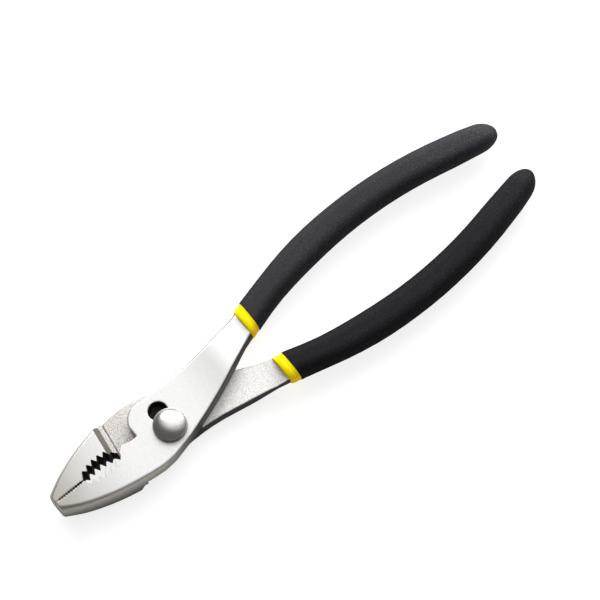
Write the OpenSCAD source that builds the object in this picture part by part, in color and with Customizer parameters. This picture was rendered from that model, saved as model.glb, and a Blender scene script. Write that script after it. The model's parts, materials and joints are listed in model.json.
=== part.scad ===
// Slip joint pliers with a double plastic coat on each handle, closed and lying flat. Sizes in mm.
// +X runs along the tool's mid-line to the handle ends, +Y across it to the front lever's handle,
// +Z up through the bolt. The origin is on the bolt's axis, on the free face of the nut.

/* [Jaws] */

// length of the jaws, from the bolt's axis to the tips
jaw_len = 46.9; // [45.5:0.2:49.5]
// thickness of the jaws at their root, both joint plates together
jaw_t = 9.6; // [9:0.1:10.4]
// thickness of the jaws at the tips
tip_t = 8.0; // [7:0.1:9]
// how far the back of a lever stands out from the mid-line
back_w = 13.9; // [13.4:0.1:15.4]
// share of that width left at the jaw's tip
nose_share = 0.28; // [0.24:0.01:0.34]
// depth of the rounding round the end face of the tip
nose_round = 0.5; // [0.3:0.1:0.8]
// opening between a jaw and the mid-line at the tip
tip_gap = 0.06; // [0.05:0.01:0.2]
// opening between a jaw and the mid-line at the end of the flat nose
nose_gap = 0.25; // [0.1:0.01:0.4]

/* [Nose serrations] */

// number of fine grooves across the flat nose
nose_grooves = 10; // [6:1:11]
// spacing of the fine grooves
nose_pitch = 1.0; // [0.8:0.05:1.1]
// depth of the fine grooves
nose_depth = 0.35; // [0.2:0.05:0.5]

/* [Pipe grip] */

// number of tooth roots along the pipe grip
pipe_roots = 6; // [5:1:6]
// spacing of the teeth
pipe_pitch = 2.4; // [2:0.05:2.5]
// distance of the middle of the pipe grip from the bolt's axis
pipe_x = 27.0; // [26.6:0.1:27.8]
// depth of the first and last root below the mid-line
root_edge = 2.8; // [2.4:0.1:3.2]
// how much deeper the middle roots lie
root_dip = 1.35; // [0.8:0.05:1.6]
// depth of the first and last tooth point below the mid-line
point_edge = 1.9; // [1.6:0.1:2.2]
// how much deeper the middle tooth points lie
point_dip = 0.55; // [0.3:0.05:0.8]
// width of the flat at the bottom of each root
root_flat = 0.35; // [0.2:0.05:0.5]
// width of the flat on each tooth point
point_flat = 0.2; // [0.1:0.05:0.3]

/* [Cutter notch] */

// distance from the bolt's axis to the notch's inner wall
notch_x = 11.0; // [10.8:0.05:11.1]
// height of the cutting lip over the mid-line
lip_rise = 1.5; // [1:0.1:1.7]
// distance from the bolt's axis to the top of the cutting lip
lip_x = 17.1; // [16.6:0.1:17.3]

/* [Joint plates] */

// distance of the bolt's axis from the mid-line
pivot_drop = 3.9; // [3.7:0.05:4.2]
// clearance between the two joint plates
plate_gap = 0.1; // [0.06:0.02:0.2]
// radius of the plate's round shoulder over the notch
hook_r = 6.5; // [6.3:0.1:6.6]
// distance from the bolt's axis to the middle of that round, along the mid-line
hook_x = 4.7; // [4.6:0.1:4.8]
// height of the middle of that round over the mid-line
hook_v = 3.8; // [3.6:0.1:4.2]
// distance from the bolt's axis to the foot of the jaw's ledge, on the mid-line
ledge_x = 19.5; // [19.3:0.1:20]
// turn of the ledge's edge from square
ledge_lean = 8.5; // [5:0.5:9]
// width of the ledge
ledge_w = 1.5; // [1:0.1:2]
// height of the ledge over the joint plate
ledge_h = 1.5; // [1:0.1:2]
// run of the slope from the ledge to the jaw's face
slope_w = 2.0; // [1.4:0.1:2.6]
// width of the relief groove at the ledge's foot
groove_w = 0.45; // [0.3:0.05:0.6]
// depth of the relief groove
groove_d = 0.5; // [0.3:0.05:0.8]

/* [Slip slot] */

// travel of the bolt between the slot's two round ends
slip = 7.0; // [6.6:0.1:7.4]
// lean of the slot from square to the mid-line
slot_lean = 0; // [0:0.5:4]
// diameter of the slot's round ends
slot_d = 7.0; // [6.9:0.05:7.2]
// width of the slot's neck
neck_w = 6.2; // [6.1:0.05:6.4]

/* [Bolt, washer and nut] */

// diameter of the bolt's shank
bolt_d = 6.8; // [6.6:0.05:6.85]
// width across the bolt's two flats
flat_w = 6.0; // [5.8:0.05:6.05]
// diameter of the bolt's threaded end
thread_d = 5.5; // [5:0.1:5.8]
// diameter of the bolt's head
head_d = 11.7; // [10.4:0.1:11.8]
// height of the head's straight rim
rim_h = 0.8; // [0.3:0.05:1]
// height of the dome over the rim
dome_h = 2.2; // [1.8:0.1:2.6]
// outer diameter of the washer
washer_d = 12.0; // [11.9:0.1:12.8]
// thickness of the washer
washer_t = 1.0; // [0.6:0.1:1.2]
// width of the nut across its flats
nut_w = 10; // [9:0.1:11]
// height of the nut
nut_h = 3.0; // [2.6:0.1:3.6]
// running clearance round the bolt, on the diameter
bolt_fit = 0.08; // [0.04:0.02:0.1]
// clearance between stacked flat faces
face_gap = 0.02; // [0.01:0.01:0.04]

/* [Handles] */

// distance from the bolt's axis to the handle's end
handle_reach = 151.4; // [148:0.2:158]
// distance from the bolt's axis to the crest of the handle's bow
bow_x = 94; // [92:0.5:97]
// height of the crest over the mid-line
bow_h = 19.4; // [19:0.1:20.6]
// radius of the bow
bow_r = 152; // [146:1:160]
// how far the handle's end is turned out again from the bow
end_flick = 0.85; // [0:0.05:1.5]
// how much further out the rear lever's shank runs than the front one's
rear_out = 1.2; // [0:0.1:1.6]
// thickness of the steel inside the handle
tang_t = 5.2; // [4.8:0.1:5.6]
// length of solid plastic past the end of the steel
end_wall = 7; // [6:0.5:10]

/* [Plastic coats] */

// distance from the bolt's axis to the edge of the first coat
base_x = 41.8; // [41.4:0.1:42.4]
// width of the first coat left bare by the second one
band_w = 3.6; // [2.8:0.1:4.4]
// thickness of the first coat
base_t = 0.8; // [0.7:0.05:0.9]
// thickness of the second coat at the handle's two edges
coat_side = 0.75; // [0.65:0.05:0.85]
// width of the finished handle
grip_w = 11.8; // [11.5:0.1:12.6]
// thickness of the finished handle
grip_t = 9.3; // [9:0.1:9.8]
// how far the second coat stands over the first at its edge
coat_step = 0.18; // [0.14:0.02:0.3]
// clearance between one coat and the next, and between the coat and the steel
coat_fit = 0.05; // [0.03:0.01:0.08]

/* [Hidden] */

steel_colour = [0.72, 0.72, 0.7];
bright_colour = [0.85, 0.85, 0.87];
base_colour = [0.96, 0.87, 0.08];
grip_colour = [0.2, 0.2, 0.21];

// the levers lie over each other along the mid-line, half of the jaw's thickness each
plate_t = jaw_t / 2;
mid_z = nut_h + plate_t;
washer_z = nut_h + jaw_t + face_gap;
head_z = washer_z + washer_t + face_gap;
past = 20;
spare = 1;
$fn = 96;

// where the slip slot's second round end lies, seen from the first
slip_dx = slip * sin(slot_lean);
slip_dy = slip * cos(slot_lean);

// where the steel runs into the first coat
neck_x = base_x;
neck_lo = 5.1;
neck_hi = 14.9;
neck_r = 1.3;
// where the face starts to fall toward the neck
face_fall_x = 28;
// where the inner face leaves the parting plane, and where its ramp ends under the first coat
pocket_x = neck_x - 4.4;
ramp_end = neck_x + band_w - 0.4;
ramp_past = 0.2;

// a smooth curve through points [x, y], read at x
function slope_at(p, i) = let (a = max(i - 1, 0), b = min(i + 1, len(p) - 1))
    (p[b][1] - p[a][1]) / (p[b][0] - p[a][0]);
function span(p, i, x) = let (h = p[i + 1][0] - p[i][0], t = (x - p[i][0]) / h)
    p[i][1] * (1 + 2 * t) * (1 - t) * (1 - t) + h * slope_at(p, i) * t * (1 - t) * (1 - t)
    + p[i + 1][1] * t * t * (3 - 2 * t) - h * slope_at(p, i + 1) * t * t * (1 - t);
function curve(p, x, i = 0) = i + 2 >= len(p) || x <= p[i + 1][0]
    ? span(p, min(i, len(p) - 2), x)
    : curve(p, x, i + 1);
// a smooth step from 0 to 1 as x goes from a to b
function ease(x, a, b) = let (t = min(max((x - a) / (b - a), 0), 1)) t * t * (3 - 2 * t);

// the back of the jaw, as shares of its length and of the lever's width
back_shares = [[1, nose_share], [0.845, 0.545], [0.634, 0.782], [0.43, 0.925], [0.237, 1],
    [0.108, 0.965]];
// the shank's two edges, as shares of the way to the neck
under_shares = [[0, 0.095], [0.111, 0.163], [0.353, 0.353], [0.595, 0.574], [0.836, 0.832], [1, 1]];
over_shares = [[0.135, -0.094], [0.374, -0.071], [0.611, 0.188], [0.851, 0.612], [1, 1]];
// rounding of the lever's long edges
edge_radii = [[-jaw_len, 2.6], [-0.93 * jaw_len, 2.2], [-0.65 * jaw_len, 1.5], [-ledge_x, 1.2], [0, 0.6],
    [face_fall_x, 0.8], [neck_x, neck_r]];

hook_top = hook_v + hook_r;
lower_edge = concat([for (q = back_shares) [-q[0] * jaw_len, -q[1] * back_w]],
    [for (q = under_shares) [q[0] * neck_x, -back_w + q[1] * (neck_lo + back_w)]]);
upper_edge = concat([[-hook_x, hook_top]],
    [for (q = over_shares) [q[0] * neck_x, hook_top + q[1] * (neck_hi - hook_top)]]);
function lower_at(x) = curve(lower_edge, x);
function upper_at(x) = x <= -hook_x - hook_r ? hook_v
    : x < -hook_x ? hook_v + sqrt(hook_r * hook_r - (x + hook_x) * (x + hook_x))
    : curve(upper_edge, x);
// half of the steel's thickness along the lever
function half_t_at(x) = x < -ledge_x
    ? tip_t / 2 + (jaw_t - tip_t) / 2 * (x + jaw_len) / (jaw_len - ledge_x)
    : plate_t + (tang_t / 2 - plate_t) * ease(x, face_fall_x, neck_x);

// the handle's bowed middle line, its slope, and the turn of the cuts across it
flick_from = handle_reach - 20;
flick_to = handle_reach - 2;
function bow_at(x) = bow_h - bow_r + sqrt(bow_r * bow_r - (x - bow_x) * (x - bow_x))
    + end_flick * ease(x, flick_from, flick_to);
function bow_slope(x) = -asin((x - bow_x) / bow_r);
turn_from = base_x + band_w;
turn_to = turn_from + 14;
function turn_at(x) = bow_slope(x) * ease(x, turn_from, turn_to);
function spread(x) = 1 / cos(bow_slope(x) - turn_at(x));

// the finished handle's width along its length, as shares of its reach and of its full width
grip_shares = [[0.27, 0.925], [0.3, 0.924], [0.37, 0.904], [0.43, 0.955], [0.5, 1], [0.6, 0.988],
    [0.75, 0.966], [0.87, 0.945], [0.93, 0.885], [0.965, 0.81], [1, 0.74]];
grip_points = [for (q = grip_shares) [q[0] * handle_reach, q[1] * grip_w / 2]];
function grip_half(x) = curve(grip_points, x);

// a cut across the lever: a box with rounded corners, or a full oval, both of the same point count
corner_steps = 5;
function put(x, v, across, up, turn) = [x - across * sin(turn), v + across * cos(turn), up];
function box_ring(x, v, half, half_t, r, turn) = [for (c = [0:3]) for (k = [0:corner_steps - 1])
    let (a = 90 * c + 90 * k / (corner_steps - 1),
        sx = (c == 0 || c == 3) ? 1 : -1,
        sy = c < 2 ? 1 : -1)
    put(x, v, sx * (half - r) + r * cos(a), sy * (half_t - r) + r * sin(a), turn)];
function swell(c, power) = sign(c) * pow(abs(c), 2 / power);
function oval_ring(x, v, half, half_t, power, turn) = [for (k = [0:4 * corner_steps - 1])
    let (a = 90 * (k + 0.5) / corner_steps)
    put(x, v, half * swell(cos(a), power), half_t * swell(sin(a), power), turn)];

// the outward set of the rear lever: full along the shank, a share of it along the handle
set_share = 0.4;
set_run = 6;
function set_at(x, out) = out * (ease(x, hook_x, face_fall_x)
    - (1 - set_share) * ease(x, base_x, base_x + set_run));

// a closed skin over a row of rings
module loft(rows, out) {
    rings = [for (row = rows) [for (q = row) [q[0], q[1] + set_at(q[0], out), q[2]]]];
    n = len(rings[0]);
    last = len(rings) - 1;
    walls = [for (i = [0:last - 1]) for (k = [0:n - 1]) for (half = [0, 1])
        let (a = i * n + k, b = i * n + (k + 1) % n)
        half == 0 ? [a, b + n, b] : [a, a + n, b + n]];
    first_cap = [for (k = [0:n - 1]) k];
    last_cap = [for (k = [0:n - 1]) last * n + n - 1 - k];
    polyhedron(points = [for (ring = rings) each ring], faces = concat([first_cap], walls, [last_cap]));
}

// the lever's own frame: x along the mid-line, y out from it, z from the parting plane to its face
jaw_steps = 12;
hook_steps = 6;
shank_steps = 11;
jaw_run = jaw_len - nose_round - hook_x - hook_r;
function lever_ring(x, inset) = let (lo = lower_at(x), hi = upper_at(x))
    box_ring(x, (lo + hi) / 2, (hi - lo) / 2 - inset, half_t_at(x) - inset,
        curve(edge_radii, x) - inset, 0);
nose_rings = [for (a = [15, 45, 90]) lever_ring(-jaw_len + nose_round * (1 - cos(a)),
    nose_round * (1 - sin(a)))];
jaw_rings = [for (i = [1:jaw_steps]) lever_ring(-jaw_len + nose_round + jaw_run * i / jaw_steps, 0)];
hook_rings = [for (i = [1:hook_steps]) lever_ring(-hook_x - hook_r * cos(90 * i / hook_steps), 0)];
shank_rings = [for (i = [1:shank_steps]) lever_ring(-hook_x + (neck_x + hook_x) * i / shank_steps, 0)];

// the steel inside the handle, and the hollow it leaves in the coats
tang_end = handle_reach - end_wall;
tang_r = 1.4;
tang_steps = 18;
function tang_ring(x, grow) = let (s = ease(x, neck_x, turn_from + spare))
    box_ring(x, (1 - s) * (neck_lo + neck_hi) / 2 + s * bow_at(x),
        (1 - s) * (neck_hi - neck_lo) / 2 + s * spread(x) * (grip_half(x) - coat_side - base_t) + grow,
        tang_t / 2 + grow, (1 - s) * neck_r + s * tang_r, turn_at(x));
tang_x = concat([neck_x + band_w / 3, neck_x + 2 * band_w / 3, turn_from, turn_from + spare],
    [for (i = [1:tang_steps]) turn_from + spare + (tang_end - turn_from - spare) * i / tang_steps]);
tang_rings = [for (x = tang_x) tang_ring(x, 0)];
core_rings = [for (x = concat([neck_x - spare, neck_x], tang_x))
    tang_ring(x + (x >= tang_end ? coat_fit : 0), coat_fit)];

// outline of the mouth, from the tip's flat nose over the pipe grip and the cutting lip to the notch
pipe_half = (pipe_roots - 1) * pipe_pitch / 2;
nose_end = pipe_x + pipe_half + 1.7;
groove_from = nose_end + 0.7;
function nose_line(x) = -nose_gap + (nose_gap - tip_gap) * (-x - nose_end) / (jaw_len - nose_end);
nose_outline = [for (i = [nose_grooves - 1:-1:0]) for (k = [-1, 0, 1])
    let (x = -groove_from - (i + 0.5) * nose_pitch + k * nose_pitch * 0.4)
    [x, nose_line(x) - (k == 0 ? nose_depth : 0)]];
function dip(edge, extra, i, n) = let (t = 2 * i / (n - 1) - 1) -edge - extra * (1 - t * t);
pipe_outline = [for (i = [0:pipe_roots - 1]) for (k = [0:3])
    let (x = -pipe_x - pipe_half + i * pipe_pitch)
    if (k < 2 || i < pipe_roots - 1)
    k < 2 ? [x + (k - 0.5) * root_flat, dip(root_edge, root_dip, i, pipe_roots)]
        : [x + pipe_pitch / 2 + (k - 2.5) * point_flat, dip(point_edge, point_dip, i, pipe_roots - 1)]];
lip_outline = [[-lip_x - 2.5, -lip_rise], [-lip_x - 2, -0.2], [-lip_x - 1.2, 0.4 * lip_rise],
    [-lip_x, lip_rise], [-lip_x + 1.4, 0.6 * lip_rise], [-lip_x + 3.9, 0.34 * lip_rise],
    [-notch_x - 0.3, 0.36 * lip_rise], [-notch_x, 0.56 * lip_rise]];
mouth_outline = concat([[-jaw_len - past, past], [-jaw_len - past, nose_line(-jaw_len - past)]],
    nose_outline, [[-nose_end, -nose_gap]], pipe_outline, lip_outline, [[-notch_x, past]]);

// how far the slope runs when it is carried on past the jaw's face
slope_out = slope_w * (plate_t + spare - ledge_h) / (plate_t - ledge_h);

module lever_blank(out) {
    difference() {
        loft(concat(nose_rings, jaw_rings, hook_rings, shank_rings, tang_rings), out);
        // mouth
        linear_extrude(jaw_t + 2 * spare, center = true)
            polygon(mouth_outline);
        // room for the other lever's plate, from the jaw's ledge and slope on
        translate([-ledge_x, 0, 0])
            rotate([90, 0, ledge_lean])
                linear_extrude(4 * past, center = true)
                    polygon([[0, -ledge_h], [-ledge_w, -ledge_h],
                        [-ledge_w - slope_out, -plate_t - spare], [past, -plate_t - spare],
                        [past, plate_gap / 2], [groove_w, plate_gap / 2], [groove_w, groove_d],
                        [0, groove_d]]);
        // the same room along the shank, closed by a ramp that ends in the handle
        rotate([90, 0, 0])
            linear_extrude(4 * past, center = true)
                polygon([[-ledge_x + past / 2, -plate_t - spare], [-ledge_x + past / 2, plate_gap / 2],
                    [pocket_x, plate_gap / 2], [ramp_end, -tang_t / 2 - ramp_past],
                    [ramp_end, -plate_t - spare]]);
    }
}

// the first coat: a collar in sight, then a thin skin that the second coat hides
base_steps = 16;
skin_power = 3;
grip_power = 2.6;
base_end = tang_end + 1.2;
band_end = base_x + band_w;
function grip_ring(x, inset, shrink) = oval_ring(x, bow_at(x),
    spread(x) * (grip_half(x) - inset) * shrink, (grip_t / 2 - inset) * shrink, grip_power, turn_at(x));
collar_x = [0, 0.25, 0.8, 2, band_w];
collar_in = [1, 0.82, 0.6, 0.3, 0];
// how much narrower and thinner the collar starts
collar_side = 0.25;
collar_face = 1.15;
collar_rings = [for (i = [0:4]) let (x = base_x + collar_x[i])
    oval_ring(x, bow_at(x), spread(x) * (grip_half(x) - coat_step - collar_in[i] * collar_side),
        grip_t / 2 - coat_step - collar_in[i] * collar_face, grip_power, turn_at(x))];
skin_from = band_end + 1.2;
function skin_ring(x, grow) = oval_ring(x, bow_at(x), spread(x) * (grip_half(x) - coat_side + grow),
    tang_t / 2 + base_t + grow, skin_power, turn_at(x));
skin_x = [for (i = [0:base_steps]) skin_from + (base_end - skin_from) * i / base_steps];

// the ramp under the steel, lowered by the coat's clearance
ramp_fall = (plate_gap / 2 + tang_t / 2 + ramp_past) / (ramp_end - pocket_x);
function ramp_at(x) = plate_gap / 2 - ramp_fall * (x - pocket_x) - coat_fit;

module grip_base(out) {
    difference() {
        loft(concat(collar_rings, [for (x = skin_x) skin_ring(x, 0)]), out);
        // the steel's own shape, with its ramp
        intersection() {
            loft(core_rings, out);
            rotate([90, 0, 0])
                linear_extrude(4 * past, center = true)
                    polygon([[pocket_x, ramp_at(pocket_x)], [pocket_x, tang_t], [handle_reach, tang_t],
                        [handle_reach, ramp_at(handle_reach)]]);
        }
    }
}

// the second coat, from its edge on the collar to the round end of the handle
grip_steps = 18;
round_len = 6.5;
end_marks = [0.75, 0.52, 0.33, 0.18, 0.08, 0.02];
function end_share(m) = sqrt(1 - pow(1 - m, 2));
round_from = handle_reach - round_len;
grip_x = [for (i = [0:grip_steps]) band_end + 1.2 + (round_from - band_end - 1.2) * i / grip_steps];
// rounding of the second coat's edge: places past the edge, and how far in, as shares of the step
edge_marks = [[0, 0.2], [0.15, 0.05], [0.4, 0]];
grip_skin = concat([for (q = edge_marks) grip_ring(band_end + q[0], q[1] * coat_step, 1)],
    [for (x = grip_x) grip_ring(x, 0, 1)],
    [for (m = end_marks) grip_ring(handle_reach - m * round_len, 0, end_share(m))]);
grip_hollow = concat([grip_ring(band_end, coat_step - coat_fit, 1)],
    [for (i = [0:base_steps]) skin_ring(skin_x[i] + (i == base_steps ? coat_fit : 0), coat_fit)]);

module grip_coat(out) {
    loft(concat([for (i = [len(grip_hollow) - 1:-1:0]) grip_hollow[i]], grip_skin), out);
}

// the two places of the one lever, turned over onto each other
module in_front() {
    translate([0, pivot_drop, mid_z])
        children();
}

module behind() {
    translate([0, pivot_drop, mid_z])
        rotate([180, 0, 0])
            children();
}

module front_lever() {
    color(steel_colour)
        difference() {
            in_front()
                lever_blank(0);
            translate([0, 0, mid_z - spare]) {
                cylinder(d = slot_d, h = plate_t + 2 * spare);
                translate([slip_dx, slip_dy, 0])
                    cylinder(d = slot_d, h = plate_t + 2 * spare);
                rotate([0, 0, -slot_lean])
                    translate([-neck_w / 2, 0, 0])
                        cube([neck_w, slip, plate_t + 2 * spare]);
            }
        }
}

module rear_lever() {
    color(steel_colour)
        difference() {
            behind()
                lever_blank(rear_out);
            translate([0, 0, nut_h - spare])
                cylinder(d = bolt_d + bolt_fit, h = plate_t + 2 * spare);
        }
}

module front_grip_base() {
    color(base_colour)
        in_front()
            grip_base(0);
}

module rear_grip_base() {
    color(base_colour)
        behind()
            grip_base(rear_out);
}

module front_grip() {
    color(grip_colour)
        in_front()
            grip_coat(0);
}

module rear_grip() {
    color(grip_colour)
        behind()
            grip_coat(rear_out);
}

module pivot_washer() {
    color(bright_colour)
        translate([0, 0, washer_z])
            difference() {
                cylinder(d = washer_d, h = washer_t);
                translate([0, 0, -spare])
                    cylinder(d = bolt_d + bolt_fit, h = washer_t + 2 * spare);
            }
}

// the shank is flatted from the washer down to the rear plate, so that it can pass the slot's neck
dome_r = (head_d * head_d / 4 + dome_h * dome_h) / (2 * dome_h);
module pivot_bolt() {
    color(bright_colour) {
        difference() {
            translate([0, 0, nut_h])
                cylinder(d = bolt_d, h = head_z - nut_h + rim_h / 2);
            for (side = [-1, 1])
                rotate([0, 0, -slot_lean])
                    translate([side * (flat_w / 2 + past / 2), 0, (mid_z + washer_z) / 2])
                        cube([past, past, washer_z - mid_z], center = true);
        }
        cylinder(d = thread_d, h = nut_h + spare);
        translate([0, 0, head_z])
            cylinder(d = head_d, h = rim_h);
        intersection() {
            translate([0, 0, head_z + rim_h / 2])
                cylinder(d = head_d, h = dome_h + rim_h);
            translate([0, 0, head_z + rim_h + dome_h - dome_r])
                sphere(r = dome_r);
        }
    }
}

nut_corner = nut_w / cos(30);
module pivot_nut() {
    color(bright_colour)
        difference() {
            intersection() {
                cylinder(d = nut_corner, h = nut_h - face_gap, $fn = 6);
                cylinder(d1 = nut_w * 0.96, d2 = nut_w * 0.96 + 2 * nut_h * 1.7, h = nut_h);
            }
            translate([0, 0, -spare])
                cylinder(d = thread_d + bolt_fit, h = nut_h + 2 * spare);
        }
}

front_lever();
front_grip_base();
front_grip();
rear_lever();
rear_grip_base();
rear_grip();
pivot_washer();
pivot_bolt();
pivot_nut();
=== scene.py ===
import json
import math

import bmesh
import bpy
from mathutils import Matrix, Vector

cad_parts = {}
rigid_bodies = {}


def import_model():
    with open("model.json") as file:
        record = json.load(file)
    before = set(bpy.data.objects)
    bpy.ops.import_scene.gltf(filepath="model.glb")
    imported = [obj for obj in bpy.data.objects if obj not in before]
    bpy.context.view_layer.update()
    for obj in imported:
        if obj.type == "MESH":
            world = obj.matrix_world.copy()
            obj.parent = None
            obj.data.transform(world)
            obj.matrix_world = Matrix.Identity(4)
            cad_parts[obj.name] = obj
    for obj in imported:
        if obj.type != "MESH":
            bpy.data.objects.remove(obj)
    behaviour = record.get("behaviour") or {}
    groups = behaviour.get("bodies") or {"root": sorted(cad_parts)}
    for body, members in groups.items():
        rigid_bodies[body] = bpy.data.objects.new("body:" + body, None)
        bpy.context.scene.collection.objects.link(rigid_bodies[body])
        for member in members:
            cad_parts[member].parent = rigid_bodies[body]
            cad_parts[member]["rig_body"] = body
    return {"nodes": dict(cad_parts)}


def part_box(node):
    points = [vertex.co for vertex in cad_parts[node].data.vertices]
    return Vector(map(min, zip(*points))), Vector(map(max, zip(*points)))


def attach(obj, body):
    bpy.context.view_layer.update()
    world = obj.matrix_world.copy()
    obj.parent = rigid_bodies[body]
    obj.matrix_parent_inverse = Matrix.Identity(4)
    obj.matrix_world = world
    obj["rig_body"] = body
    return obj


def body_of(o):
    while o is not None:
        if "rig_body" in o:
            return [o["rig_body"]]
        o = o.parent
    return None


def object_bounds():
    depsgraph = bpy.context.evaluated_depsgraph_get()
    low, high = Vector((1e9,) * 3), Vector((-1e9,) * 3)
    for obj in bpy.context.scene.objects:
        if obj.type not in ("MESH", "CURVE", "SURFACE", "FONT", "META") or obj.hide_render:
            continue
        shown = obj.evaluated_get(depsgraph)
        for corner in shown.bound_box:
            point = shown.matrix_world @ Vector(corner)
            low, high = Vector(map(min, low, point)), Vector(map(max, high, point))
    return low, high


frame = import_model()
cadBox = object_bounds()
nodes = frame["nodes"]
mm = 0.001
print("pliers: frame loaded,", len(nodes), "nodes")

# where things are, taken from the frame
leverLow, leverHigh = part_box("front_lever")
plateTop = leverHigh.z
tipX = leverLow.x
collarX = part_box("front_grip_base")[0].x
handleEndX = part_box("front_grip")[1].x


# building blocks for materials
def newGroup(name, inputs, outputs, vectors=()):
    group = bpy.data.node_groups.new(name, "ShaderNodeTree")
    for side, kind, labels in (("INPUT", "NodeSocketFloat", inputs), ("OUTPUT", "NodeSocketFloat", outputs),
                               ("OUTPUT", "NodeSocketVector", vectors)):
        for label in labels:
            group.interface.new_socket(name=label, in_out=side, socket_type=kind)
    return group, group.nodes.new("NodeGroupInput"), group.nodes.new("NodeGroupOutput")


def newMaterial(name):
    material = bpy.data.materials.new(name)
    material.use_nodes = True
    tree = material.node_tree
    tree.nodes.clear()
    output = tree.nodes.new("ShaderNodeOutputMaterial")
    shader = tree.nodes.new("ShaderNodeBsdfPrincipled")
    tree.links.new(shader.outputs["BSDF"], output.inputs["Surface"])
    return material, tree, shader


def placeGroup(tree, group, values):
    node = tree.nodes.new("ShaderNodeGroup")
    node.node_tree = group
    for label, value in values.items():
        node.inputs[label].default_value = value
    return node


def feed(tree, socket, value):
    # an output is linked, a number or a colour is set
    if isinstance(value, bpy.types.NodeSocket):
        tree.links.new(value, socket)
    elif socket.type == "RGBA":
        socket.default_value = (*value, 1)
    else:
        socket.default_value = value


def mathNode(tree, operation, *values, clamp=False):
    node = tree.nodes.new("ShaderNodeMath")
    node.operation = operation
    node.use_clamp = clamp
    for socket, value in zip(node.inputs, values):
        feed(tree, socket, value)
    return node.outputs["Value"]


def times(tree, first, second):
    return mathNode(tree, "MULTIPLY", first, second)


def ramp(tree, value, rise, start, clamp=False):
    # start where value is 0, and start + rise where it is 1
    return mathNode(tree, "MULTIPLY_ADD", value, rise, start, clamp=clamp)


def softStep(tree, value, low, high):
    # 0 below low and 1 above high, or the other way round where high is the smaller
    node = tree.nodes.new("ShaderNodeMapRange")
    node.interpolation_type = "SMOOTHSTEP"
    falling = isinstance(low, float) and low > high
    ends = (high, low, 1, 0) if falling else (low, high, 0, 1)
    for label, end in zip(("Value", "From Min", "From Max", "To Min", "To Max"), (value, *ends)):
        feed(tree, node.inputs[label], end)
    return node.outputs["Result"]


def mixColours(tree, mask, first, second):
    node = tree.nodes.new("ShaderNodeMix")
    node.data_type = "RGBA"
    for socket, value in zip((node.inputs[0], node.inputs[6], node.inputs[7]), (mask, first, second)):
        feed(tree, socket, value)
    return node.outputs[2]


def dotProduct(tree, first, second):
    node = tree.nodes.new("ShaderNodeVectorMath")
    node.operation = "DOT_PRODUCT"
    feed(tree, node.inputs[0], first)
    feed(tree, node.inputs[1], second)
    return node.outputs["Value"]


def texturePlace(tree, kind="Object"):
    return tree.nodes.new("ShaderNodeTexCoord").outputs[kind]


def splitVector(tree, vector):
    node = tree.nodes.new("ShaderNodeSeparateXYZ")
    tree.links.new(vector, node.inputs[0])
    return node.outputs


def bumpNode(tree, shader, height, look, rounded=None):
    node = tree.nodes.new("ShaderNodeBump")
    if rounded is not None:
        tree.links.new(rounded, node.inputs["Normal"])
    node.inputs["Strength"].default_value = look["bumpStrength"]
    node.inputs["Distance"].default_value = look["bumpDepth"]
    tree.links.new(height, node.inputs["Height"])
    tree.links.new(node.outputs["Normal"], shader.inputs["Normal"])


def grainyRoughness(tree, grain, look):
    swing = look["grainRoughness"]
    return ramp(tree, grain.outputs["Grain"], swing, look["roughness"] - swing / 2)


# small dots, such as forging pits or the frosted grain of dipped plastic
speckleLook = {
    "detail": 2,
    "roughness": 0.6,
}


def makeSpeckle():
    group, start, end = newGroup("speckle", ("Scale", "Level", "Softness"), ("Mask",))
    noise = group.nodes.new("ShaderNodeTexNoise")
    noise.inputs["Detail"].default_value = speckleLook["detail"]
    noise.inputs["Roughness"].default_value = speckleLook["roughness"]
    group.links.new(texturePlace(group), noise.inputs["Vector"])
    group.links.new(start.outputs["Scale"], noise.inputs["Scale"])
    top = mathNode(group, "ADD", start.outputs["Level"], start.outputs["Softness"])
    dots = softStep(group, noise.outputs["Fac"], start.outputs["Level"], top)
    group.links.new(dots, end.inputs["Mask"])
    return group


# slow cloudy change of tone and a fine grain with it
grainLook = {
    "Cloud": 3,                     # detail of each
    "Grain": 4,
}


def makeGrain():
    group, start, end = newGroup("surface_grain", ("Cloud Scale", "Grain Scale"), grainLook)
    place = texturePlace(group)
    for label, detail in grainLook.items():
        noise = group.nodes.new("ShaderNodeTexNoise")
        noise.inputs["Detail"].default_value = detail
        group.links.new(place, noise.inputs["Vector"])
        group.links.new(start.outputs[label + " Scale"], noise.inputs["Scale"])
        group.links.new(noise.outputs["Fac"], end.inputs[label])
    return group


# where one zone of a lever passes into the next
zoneLook = {
    "edge": (0.995, 0.80),          # how far the rounded normal has turned from the face's own
    "side": (0.985, 0.60),          # upright part of the normal
    "cast": (0.75, 0.92),           # the same, toward the inner side
    "slope": (0.2, 0.35),           # part of the normal along the handle
    "disc": (1.0, 0.93),            # share of the disc's radius
    "slopeRun": 1.5 * mm,           # how far the slope reaches past the ledge
    "toothEdge": 0.3,               # edges are less round between the teeth, by this factor
    "bevelSamples": 6,
}
zoneInputs = ("Inner Side", "Ledge X", "Disc Y", "Disc Radius", "Low Z", "High Z", "Mouth X", "Mouth Y",
              "Mouth Length", "Mouth Width", "Edge Radius", "Level From")


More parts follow.
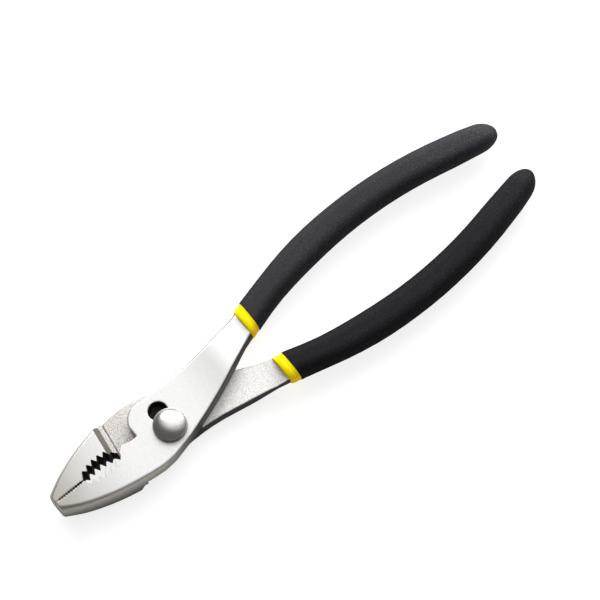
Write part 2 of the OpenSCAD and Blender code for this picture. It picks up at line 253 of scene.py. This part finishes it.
# parts of a lever: its sides, the cast inner face, the disc round the bolt that is painted dark with grease
# and shade, the mouth, the edges
def makeLeverZones():
    look = zoneLook
    group, start, end = newGroup("lever_zones", zoneInputs,
                                 ("Side", "Cast", "Disc", "Height", "Mouth", "Edge", "Slope"), ("Rounded",))
    links = group.links
    given = start.outputs
    place = splitVector(group, texturePlace(group))

    def within(axis, middle, span):
        off = mathNode(group, "ABSOLUTE", mathNode(group, "SUBTRACT", place[axis], given[middle]))
        return mathNode(group, "LESS_THAN", off, times(group, given[span], 0.5))

    mouth = times(group, within("X", "Mouth X", "Mouth Length"), within("Y", "Mouth Y", "Mouth Width"))
    # edges drawn rounder than they are cut, less so between the teeth
    rounded = group.nodes.new("ShaderNodeBevel")
    rounded.samples = look["bevelSamples"]
    fine = ramp(group, mouth, look["toothEdge"] - 1, 1)
    links.new(times(group, given["Edge Radius"], fine), rounded.inputs["Radius"])
    faceNormal = group.nodes.new("ShaderNodeNewGeometry").outputs["Normal"]
    edge = softStep(group, dotProduct(group, rounded.outputs["Normal"], faceNormal), *look["edge"])

    normal = splitVector(group, rounded.outputs["Normal"])
    side = softStep(group, mathNode(group, "ABSOLUTE", normal["Z"]), *look["side"])
    inward = times(group, normal["Z"], given["Inner Side"])
    behindLedge = mathNode(group, "GREATER_THAN", place["X"], given["Ledge X"])
    cast = times(group, softStep(group, inward, *look["cast"]), behindLedge)
    slopeEnd = mathNode(group, "ADD", given["Ledge X"], look["slopeRun"])
    byLedge = mathNode(group, "LESS_THAN", place["X"], slopeEnd)
    slope = times(group, softStep(group, normal["X"], *look["slope"]), byLedge)
    offY = mathNode(group, "SUBTRACT", place["Y"], given["Disc Y"])
    squares = mathNode(group, "ADD", times(group, offY, offY), times(group, place["X"], place["X"]))
    reach = mathNode(group, "DIVIDE", mathNode(group, "SQRT", squares), given["Disc Radius"])
    disc = softStep(group, reach, *look["disc"])
    # height up the lever, for the painted light and shade on its sides
    height = softStep(group, place["Z"], given["Low Z"], given["High Z"])
    # the shank's inner face is drawn level up to the collar, as the photograph shows it
    levelled = group.nodes.new("ShaderNodeMix")
    levelled.data_type = "VECTOR"
    upright = group.nodes.new("ShaderNodeCombineXYZ")
    links.new(given["Inner Side"], upright.inputs["Z"])
    onRamp = mathNode(group, "GREATER_THAN", place["X"], given["Level From"])
    links.new(times(group, onRamp, cast), levelled.inputs[0])
    links.new(rounded.outputs["Normal"], levelled.inputs[4])
    links.new(upright.outputs["Vector"], levelled.inputs[5])
    made = {"Side": side, "Cast": cast, "Disc": disc, "Height": height, "Mouth": mouth, "Edge": edge,
            "Slope": slope, "Rounded": levelled.outputs[1]}
    for label, value in made.items():
        links.new(value, end.inputs[label])
    return group


speckle = makeSpeckle()
surfaceGrain = makeGrain()
leverZones = makeLeverZones()
print("pliers: node groups made")


# steel of the two levers
leverLook = {
    "ground": (0.565, 0.565, 0.562),       # flat faces, ground and plated
    "shankGroundShaded": (0.45, 0.45, 0.448),    # painted shade: the same faces along the shank, darker as they lean toward the light
    "shankFace": (8 * mm, 28 * mm),
    "tip": (0.34, 0.318, 0.29),            # the same faces toward the worn tip
    "tipRun": 25 * mm,
    "tipCloud": 0.45,                      # how evenly the tip's colour lies
    "sideLitTop": (0.72, 0.68, 0.62),         # painted light: sides of the jaws, near the upper edge
    # painted shade: sides of the jaws, near the lower edge
    "sideShadedBottom": (0.11, 0.10, 0.085),
    "shankSideShade": (0.065, 0.062, 0.058),    # sides of the shank, painted dark as shade
    # painted shade: the tooth faces inside the mouth
    "mouth": (0.016, 0.014, 0.013),
    "slope": (0.155, 0.140, 0.118),        # slope behind the jaw's ledge
    "cast": (0.60, 0.585, 0.575),          # inner faces, left as forged
    "shankCast": (0.69, 0.69, 0.677),      # the same, brighter along the shank
    "shank": (-16 * mm, 10 * mm),          # where the jaws' tones pass into the shank's
    "rust": (0.20, 0.15, 0.11),
    # grease, together with painted shade, on the disc round the bolt
    "greaseAndShade": (0.022, 0.018, 0.016),
    "zones": {
        "Ledge X": -20.5 * mm,
        "Mouth X": -26 * mm,               # middle of the teeth
        "Mouth Y": 3.9 * mm,
        "Mouth Length": 24.5 * mm,
        "Mouth Width": 10.4 * mm,
        "Edge Radius": 0.8 * mm,
        "Level From": 36.5 * mm,
    },
    "grain": {"Cloud Scale": 90, "Grain Scale": 2600},
    "specks": {"Scale": 2100, "Level": 0.66, "Softness": 0.05},
    "pits": {"Scale": 3900, "Level": 0.46, "Softness": 0.18},
    "mottle": (0.42, 0.68),                # grain that shows on the ground faces
    "mottleAmount": 0.12,
    "rustOnFace": 0.3,
    "rustOnEdge": 0.5,                     # added to it
    "rustOnCast": 0.7,
    "pitAmount": 0.95,
    "shankPits": 0.55,
    "roughness": 0.40,
    "castRoughness": 0.64,
    "grainRoughness": 0.12,
    "sideMetal": 0.55,
    "grainHeight": 0.25,                   # as a share of the pits' depth
    "bumpStrength": 0.35,
    "bumpDepth": 0.06 * mm,
    "edge": 0.14 * mm,
}
# each lever's inner side, and the middle and radius of the disc on it that is painted dark with grease and
# shade
leverSides = {
    "front": {"Inner Side": -1, "Disc Y": 3.5 * mm, "Disc Radius": 8.2 * mm},
    "rear": {"Inner Side": 1, "Disc Y": 0, "Disc Radius": 10.9 * mm},
}


def leverSteel(name, inner):
    look = leverLook
    material, tree, shader = newMaterial(name)
    zones = placeGroup(tree, leverZones, {**look["zones"], **inner, "Low Z": leverLow.z, "High Z": plateTop})
    zone = zones.outputs
    grain = placeGroup(tree, surfaceGrain, look["grain"])
    specks = placeGroup(tree, speckle, look["specks"]).outputs["Mask"]
    pits = placeGroup(tree, speckle, look["pits"]).outputs["Mask"]
    placeX = splitVector(tree, texturePlace(tree))["X"]

    # ground faces, greyer toward the tip, with tiny rust marks that gather along the edges
    towardTip = softStep(tree, placeX, tipX + look["tipRun"], tipX)
    clouds = mathNode(tree, "ADD", grain.outputs["Cloud"], look["tipCloud"], clamp=True)
    # painted shade: the shank's faces are darker, as they lean toward the light
    alongShank = softStep(tree, placeX, *look["shankFace"])
    ground = mixColours(tree, alongShank, look["ground"], look["shankGroundShaded"])
    ground = mixColours(tree, times(tree, towardTip, clouds), ground, look["tip"])
    mottled = softStep(tree, grain.outputs["Grain"], *look["mottle"])
    ground = mixColours(tree, times(tree, mottled, look["mottleAmount"]), ground, look["rust"])
    rusty = times(tree, specks, ramp(tree, zone["Edge"], look["rustOnEdge"], look["rustOnFace"]))
    ground = mixColours(tree, rusty, ground, look["rust"])

    # cast faces
    towardShank = softStep(tree, placeX, *look["shank"])
    cast = mixColours(tree, towardShank, look["cast"], look["shankCast"])
    pitted = ramp(tree, towardShank, look["shankPits"] - look["pitAmount"], look["pitAmount"])
    cast = mixColours(tree, times(tree, pits, pitted), cast, look["rust"])
    cast = mixColours(tree, times(tree, specks, look["rustOnCast"]), cast, look["rust"])

    # sides: painted light toward the top, painted shade toward the bottom and along the shank
    side = mixColours(tree, zone["Height"], look["sideShadedBottom"], look["sideLitTop"])
    side = mixColours(tree, towardShank, side, look["shankSideShade"])
    side = mixColours(tree, rusty, side, look["rust"])
    # the tooth faces are painted dark as shade
    side = mixColours(tree, zone["Mouth"], side, look["mouth"])

    colour = mixColours(tree, zone["Cast"], ground, cast)
    colour = mixColours(tree, zone["Side"], colour, side)
    colour = mixColours(tree, zone["Slope"], colour, look["slope"])
    # the disc round the bolt: grease, and painted shade
    greaseShadeMask = times(tree, zone["Disc"], mathNode(tree, "MAXIMUM", zone["Cast"], zone["Side"]))
    colour = mixColours(tree, greaseShadeMask, colour, look["greaseAndShade"])
    tree.links.new(colour, shader.inputs["Base Color"])

    rough = ramp(tree, zone["Cast"], look["castRoughness"] - look["roughness"],
                 grainyRoughness(tree, grain, look))
    tree.links.new(rough, shader.inputs["Roughness"])
    dulled = mathNode(tree, "MAXIMUM", greaseShadeMask, times(tree, zone["Side"], 1 - look["sideMetal"]))
    tree.links.new(mathNode(tree, "SUBTRACT", 1, dulled, clamp=True), shader.inputs["Metallic"])

    # deep pits in the cast face, a faint grain elsewhere
    hollow = times(tree, pits, zone["Cast"])
    height = mathNode(tree, "SUBTRACT", times(tree, grain.outputs["Grain"], look["grainHeight"]), hollow)
    bumpNode(tree, shader, height, look, zone["Rounded"])
    return material


# polished steel of the bolt, washer and nut
polishLook = {
    "grain": {"Cloud Scale": 160, "Grain Scale": 2600},
    "pitLevel": 0.53,
    "pitSoftness": 0.10,
    "patch": (0.50, 0.80),          # pits come in patches, as wear does
    "patchLean": 70,                # how fast they gather toward one side
    "pitAmount": 0.8,
    "pitRoughness": 0.3,
    "grainRoughness": 0.12,
    "bumpStrength": 0.3,
    "bumpDepth": 0.03 * mm,
}
boltLook = {
    **polishLook,
    "colour": (0.63, 0.62, 0.60),
    "pitColour": (0.16, 0.12, 0.09),
    "roughness": 0.25,
    "pitScale": 1900,
    "pitsToward": (0.78, -0.61, 0),  # the side of the head that is worn and pitted
    "edge": 0.12 * mm,
}
washerLook = {
    **polishLook,
    # painted shade: dark like the shade round the bolt's head, for the washer and the nut alike
    "colour": (0.34, 0.30, 0.25),
    "pitColour": (0.12, 0.09, 0.06),
    "roughness": 0.32,
    "pitScale": 1400,
    "pitsToward": (0, 0, 0),        # to no side
    "edge": 0.12 * mm,
    "nutEdge": 0.25 * mm,
}


def polishedSteel(name, look):
    material, tree, shader = newMaterial(name)
    grain = placeGroup(tree, surfaceGrain, look["grain"])
    pits = placeGroup(tree, speckle, {"Scale": look["pitScale"], "Level": look["pitLevel"],
                                      "Softness": look["pitSoftness"]}).outputs["Mask"]
    toSide = dotProduct(tree, texturePlace(tree), look["pitsToward"])
    leaning = mathNode(tree, "MULTIPLY_ADD", toSide, look["patchLean"], grain.outputs["Cloud"])
    patch = softStep(tree, leaning, *look["patch"])
    mask = times(tree, times(tree, pits, patch), look["pitAmount"])
    tree.links.new(mixColours(tree, mask, look["colour"], look["pitColour"]), shader.inputs["Base Color"])
    rough = ramp(tree, mask, look["pitRoughness"], grainyRoughness(tree, grain, look))
    tree.links.new(rough, shader.inputs["Roughness"])
    shader.inputs["Metallic"].default_value = 1
    bumpNode(tree, shader, times(tree, mask, -1), look)
    return material


# the first coat, yellow
firstCoatLook = {
    "colour": (1.0, 0.83, 0.001),
    "amberShadeAndTone": (0.95, 0.55, 0.001),    # amber, as painted shade where the coat turns down at its sides and as a cloudy tone
    "turned": (0.96, 0.35),               # upright part of the normal there
    "turnedAmount": 0.85,
    "clouds": (0.45, 0.8),
    "cloudAmount": 0.25,
    "grain": {"Cloud Scale": 260, "Grain Scale": 1800},
    "roughness": 0.38,
    "grainRoughness": 0.1,
    "shine": 0.08,
    "bumpStrength": 0.2,
    "bumpDepth": 0.15 * mm,
    "edge": 0.06 * mm,
}


def firstCoat():
    look = firstCoatLook
    material, tree, shader = newMaterial("dipped_yellow")
    grain = placeGroup(tree, surfaceGrain, look["grain"])
    normal = splitVector(tree, texturePlace(tree, "Normal"))
    # the coat's sides are painted amber as shade; the clouds add a tone of their own
    turned = softStep(tree, mathNode(tree, "ABSOLUTE", normal["Z"]), *look["turned"])
    clouded = softStep(tree, grain.outputs["Cloud"], *look["clouds"])
    shadeAndTone = mathNode(tree, "MAXIMUM", times(tree, turned, look["turnedAmount"]),
                    times(tree, clouded, look["cloudAmount"]))
    tree.links.new(mixColours(tree, shadeAndTone, look["colour"], look["amberShadeAndTone"]), shader.inputs["Base Color"])
    tree.links.new(grainyRoughness(tree, grain, look), shader.inputs["Roughness"])
    shader.inputs["Specular IOR Level"].default_value = look["shine"]
    bumpNode(tree, shader, grain.outputs["Cloud"], look)
    return material


# the second coat, black and frosted
secondCoatLook = {
    "colour": (0.0125, 0.0115, 0.0140),
    "dotColour": (0.056, 0.054, 0.068),
    "endLitColour": (0.080, 0.078, 0.102),   # painted light: dots near the handle's end drawn lighter
    "endRun": 45 * mm,
    "endDots": 0.15,                      # more of them there
    "collarShadeTone": 0.45,                   # painted shade: darker at first, by the collar
    "collarRun": (44 * mm, 80 * mm),
    "dots": {"Scale": 2400, "Level": 0.50, "Softness": 0.16},
    "dotAmount": (0.2, 0.8),              # even share, and the share that comes and goes
    "grain": {"Cloud Scale": 45, "Grain Scale": 4200},
    "roughness": 0.62,
    "grainRoughness": 0.2,
    "bumpStrength": 0.4,
    "bumpDepth": 0.05 * mm,
    "edge": 0.06 * mm,
    # the rear handle's tone is painted darker as shade, the front one's lighter as light
    "handles": {
        "front": {"tone": 0.85, "shine": 0.26},
        "rear": {"tone": 0.45, "shine": 0.12},
    },
}


def secondCoat(side):
    look = secondCoatLook
    handle = look["handles"][side]
    material, tree, shader = newMaterial(side + "_dipped_black")
    grain = placeGroup(tree, surfaceGrain, look["grain"])
    dots = placeGroup(tree, speckle, look["dots"]).outputs["Mask"]
    placeX = splitVector(tree, texturePlace(tree))["X"]
    towardEnd = softStep(tree, placeX, handleEndX - look["endRun"], handleEndX)
    fromCollar = softStep(tree, placeX, *look["collarRun"])
    base, dotted, endLight = ([level * handle["tone"] for level in look[label]]
                            for label in ("colour", "dotColour", "endLitColour"))
    even, cloudy = look["dotAmount"]
    amount = times(tree, dots, ramp(tree, grain.outputs["Cloud"], cloudy, even))
    amount = mathNode(tree, "MULTIPLY_ADD", towardEnd, look["endDots"], amount, clamp=True)
    # painted shade by the collar, and painted light on the dots toward the handle's end
    share = ramp(tree, fromCollar, 1 - look["collarShadeTone"], look["collarShadeTone"])
    frosted = mixColours(tree, towardEnd, dotted, endLight)
    colour = mixColours(tree, times(tree, amount, share), base, frosted)
    tree.links.new(colour, shader.inputs["Base Color"])
    tree.links.new(grainyRoughness(tree, grain, look), shader.inputs["Roughness"])
    shader.inputs["Specular IOR Level"].default_value = handle["shine"]
    bumpNode(tree, shader, mathNode(tree, "ADD", dots, grain.outputs["Grain"]), look)
    return material


# dressing the nodes: doubles and flat triangles are merged, then the edges are broken
dressLook = {
    "merge": 0.01 * mm,
    "flat": 0.4,                    # degrees
    "edgeAngle": 30,
    "edgeSegments": 2,
}


def smoothShade(mesh):
    mesh.polygons.foreach_set("use_smooth", [True] * len(mesh.polygons))


def softEdges(node, width):
    smoothShade(node.data)
    join = node.modifiers.new("join", "WELD")
    join.merge_threshold = dressLook["merge"]
    flats = node.modifiers.new("flats", "DECIMATE")
    flats.decimate_type = "DISSOLVE"
    flats.angle_limit = math.radians(dressLook["flat"])
    bevel = node.modifiers.new("edges", "BEVEL")
    bevel.width = width
    bevel.segments = dressLook["edgeSegments"]
    bevel.limit_method = "ANGLE"
    bevel.angle_limit = math.radians(dressLook["edgeAngle"])
    node.modifiers.new("shading", "WEIGHTED_NORMAL")


def dress(name, material, edge):
    node = nodes[name]
    node.data.materials.clear()
    node.data.materials.append(material)
    softEdges(node, edge)


for side, inner in leverSides.items():
    dress(side + "_lever", leverSteel(side + "_steel", inner), leverLook["edge"])
dress("pivot_bolt", polishedSteel("bolt_steel", boltLook), boltLook["edge"])
# the washer and nut share this steel, painted dark as shade
plainSteel = polishedSteel("washer_steel", washerLook)
dress("pivot_washer", plainSteel, washerLook["edge"])
dress("pivot_nut", plainSteel, washerLook["nutEdge"])
yellow = firstCoat()
for side in secondCoatLook["handles"]:
    dress(side + "_grip_base", yellow, firstCoatLook["edge"])
    dress(side + "_grip", secondCoat(side), secondCoatLook["edge"])
print("pliers: nine nodes dressed")


# the rolled lip where the first coat was dipped: it stands a little proud of each collar's start
lipLook = {
    "rings": (0, 0.25, 0.8, 2.0),   # mm from the collar's start, where its oval is measured
    "ringSpan": 0.02 * mm,          # a ring's points lie this close together
    "power": 2.6,                   # of the oval
    "segments": 64,
    # mm from the collar's start, and mm that the lip stands out there, once round its profile
    "profile": [(-0.02, -0.30), (-0.02, 0.05), (0.04, 0.12), (0.2, 0.16), (0.8, 0.18), (1.5, 0.15),
                (2.0, 0.08), (2.4, -0.08), (2.4, -0.30), (-0.02, -0.30)],
}


def addPiece(name, shape, material):
    mesh = bpy.data.meshes.new(name)
    shape.to_mesh(mesh)
    shape.free()
    mesh.materials.append(material)
    piece = bpy.data.objects.new(name, mesh)
    bpy.context.scene.collection.objects.link(piece)
    return piece


def measureOval(collar, x):
    # its middle in y and z, and its half widths
    ring = [vertex.co for vertex in collar.data.vertices if abs(vertex.co.x - x) < lipLook["ringSpan"]]
    low, high = ([pick(spot[k] for spot in ring) for k in (1, 2)] for pick in (min, max))
    return [(a + b) / 2 for a, b in zip(low, high)] + [(b - a) / 2 for a, b in zip(low, high)]


def ovalAt(x, rings, ovals):
    # between two measured ovals, or carried on past the last one
    after = next((k for k, ring in enumerate(rings) if k > 0 and ring > x), len(rings) - 1)
    share = max((x - rings[after - 1]) / (rings[after] - rings[after - 1]), 0)
    return [a + (b - a) * share for a, b in zip(ovals[after - 1], ovals[after])]


def swell(share):
    return math.copysign(abs(share) ** (2 / lipLook["power"]), share)


def makeLip(name, collar, material):
    rings = [collarX + step * mm for step in lipLook["rings"]]
    ovals = [measureOval(collar, x) for x in rings]
    rows = len(lipLook["profile"]) - 1
    lip = bmesh.new()
    bmesh.ops.create_grid(lip, x_segments=lipLook["segments"], y_segments=rows, size=0.5)
    # the grid is wrapped round the collar: its y goes once round the profile, its x once round the oval
    for vertex in lip.verts:
        step, proud = lipLook["profile"][round((vertex.co.y + 0.5) * rows)]
        x = collarX + step * mm
        middleY, middleZ, halfY, halfZ = ovalAt(x, rings, ovals)
        turn = 2 * math.pi * (vertex.co.x + 0.5)
        vertex.co = (x, middleY + (halfY + proud * mm) * swell(math.cos(turn)),
                     middleZ + (halfZ + proud * mm) * swell(math.sin(turn)))
    bmesh.ops.remove_doubles(lip, verts=lip.verts, dist=0.001 * mm)
    bmesh.ops.recalc_face_normals(lip, faces=lip.faces)
    piece = addPiece(name, lip, material)
    smoothShade(piece.data)
    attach(piece, body_of(collar)[0])


for side in ("front", "rear"):
    makeLip(side + "_coat_lip", nodes[side + "_grip_base"], yellow)
print("pliers: lips of the first coat made")


# floor of pale paper
floorLook = {
    "side": 6.0,
    "cells": 8,
    "below": 0.05 * mm,
    "colour": (0.32, 0.32, 0.32),
    "glow": 0.80,                    # lit from behind
    "mirrored": (0.36, 0.36, 0.36),  # how it shows in the steel, where the real room was dim
    "grain": {"Cloud Scale": 6, "Grain Scale": 900},
    "grainAmount": 0.04,
    "roughness": 0.8,
}
white = (1, 1, 1)


def floorPaper():
    look = floorLook
    material, tree, shader = newMaterial("floor_paper")
    grain = placeGroup(tree, surfaceGrain, look["grain"])
    mirrored = tree.nodes.new("ShaderNodeLightPath").outputs["Is Glossy Ray"]
    paper = mixColours(tree, times(tree, grain.outputs["Grain"], look["grainAmount"]), look["colour"],
                       look["mirrored"])
    tree.links.new(mixColours(tree, mirrored, paper, look["mirrored"]), shader.inputs["Base Color"])
    shader.inputs["Roughness"].default_value = look["roughness"]
    feed(tree, shader.inputs["Emission Color"], white)
    tree.links.new(ramp(tree, mirrored, -look["glow"], look["glow"]), shader.inputs["Emission Strength"])
    # clear from below, so that the underside can be looked at
    clear = tree.nodes.new("ShaderNodeBsdfTransparent")
    seen = tree.nodes.new("ShaderNodeMixShader")
    tree.links.new(tree.nodes.new("ShaderNodeNewGeometry").outputs["Backfacing"], seen.inputs[0])
    tree.links.new(shader.outputs["BSDF"], seen.inputs[1])
    tree.links.new(clear.outputs["BSDF"], seen.inputs[2])
    tree.links.new(seen.outputs["Shader"], tree.nodes["Material Output"].inputs["Surface"])
    return material


def makeFloor():
    sheet = bmesh.new()
    bmesh.ops.create_grid(sheet, x_segments=floorLook["cells"], y_segments=floorLook["cells"],
                          size=floorLook["side"] / 2)
    bmesh.ops.translate(sheet, verts=sheet.verts, vec=(0, 0, cadBox[0][2] - floorLook["below"]))
    addPiece("studio_floor", sheet, floorPaper())


makeFloor()

# light
studio = {
    "bright": 1.66,                 # the tent overhead
    "dim": 0.13,                    # the dark room around it
    "brightToward": (0.495, 0.341, 0.799),
    "tent": (0.45, 1.03),           # how nearly a direction points there, from dim to bright
    "under": 0.75,                  # lights the underside, seen only from below the floor
    "underFrom": -0.1,
    "backdrop": 0.98,               # what the camera sees past the floor
    "softboxes": [
        {"place": (0.42, 1.07, 0.70), "size": 1.0, "watts": 11},
        {"place": (1.02, 0.47, 0.74), "size": 1.0, "watts": 11},
    ],
    "softboxAim": 1 / 3,            # share of the handle's reach
}


def background(tree, strength):
    node = tree.nodes.new("ShaderNodeBackground")
    feed(tree, node.inputs["Color"], white)
    feed(tree, node.inputs["Strength"], strength)
    return node.outputs["Background"]


def makeTent():
    world = bpy.data.worlds.new("studio")
    bpy.context.scene.world = world
    world.use_nodes = True
    tree = world.node_tree
    tree.nodes.clear()
    direction = texturePlace(tree, "Generated")
    toward = dotProduct(tree, direction, Vector(studio["brightToward"]).normalized())
    tent = softStep(tree, toward, *studio["tent"])
    level = ramp(tree, tent, studio["bright"] - studio["dim"], studio["dim"])
    under = mathNode(tree, "LESS_THAN", splitVector(tree, direction)["Z"], studio["underFrom"])
    level = mathNode(tree, "MULTIPLY_ADD", under, studio["under"], level)
    choice = tree.nodes.new("ShaderNodeMixShader")
    output = tree.nodes.new("ShaderNodeOutputWorld")
    tree.links.new(tree.nodes.new("ShaderNodeLightPath").outputs["Is Camera Ray"], choice.inputs[0])
    tree.links.new(background(tree, level), choice.inputs[1])
    tree.links.new(background(tree, studio["backdrop"]), choice.inputs[2])
    tree.links.new(choice.outputs[0], output.inputs["Surface"])


def makeSoftboxes():
    aim = Vector((handleEndX * studio["softboxAim"], 0, 0))
    for box in studio["softboxes"]:
        light = bpy.data.lights.new("softbox", "AREA")
        light.shape = "DISK"
        light.size = box["size"]
        light.energy = box["watts"]
        lamp = bpy.data.objects.new("softbox", light)
        place = Vector(box["place"])
        lamp.matrix_world = Matrix.LocRotScale(place, (place - aim).to_track_quat("Z", "Y"), None)
        bpy.context.scene.collection.objects.link(lamp)


makeTent()
makeSoftboxes()
bpy.context.scene.view_settings.view_transform = "Standard"
print("pliers: floor and light placed")

# camera, at the photograph's angle
photoView = {
    "turn": -18.1,                  # degrees about the upright axis
    "tilt": 22.0,                   # from straight above
    "roll": -21.1,
    "lens": 1000,                   # long, as the photograph shows hardly any perspective
    "imageSide": 600,
    "pixelsPerMm": 2.94,
    "boltPixel": (169.9, 425.05),   # where the bolt's axis meets the front plate
}


def makeCamera():
    turn, tilt, roll = (math.radians(photoView[label]) for label in ("turn", "tilt", "roll"))
    aimed = Matrix.Rotation(turn, 4, "Z") @ Matrix.Rotation(tilt, 4, "X") @ Matrix.Rotation(roll, 4, "Z")
    right, up, back = (aimed.col[k].xyz for k in range(3))
    metresPerPixel = mm / photoView["pixelsPerMm"]
    middle = (photoView["imageSide"] - 1) / 2
    across, down = ((pixel - middle) * metresPerPixel for pixel in photoView["boltPixel"])
    aim = Vector((0, 0, plateTop)) - right * across + up * down
    aim += back * ((plateTop - aim.z) / back.z)  # brought back onto the plate's plane
    data = bpy.data.cameras.new("camera")
    data.lens = photoView["lens"]
    distance = data.lens * photoView["imageSide"] * metresPerPixel / data.sensor_width
    camera = bpy.data.objects.new("camera", data)
    camera.matrix_world = Matrix.Translation(aim + back * distance) @ aimed
    bpy.context.scene.collection.objects.link(camera)
    bpy.context.scene.camera = camera


makeCamera()
print("pliers: camera placed")
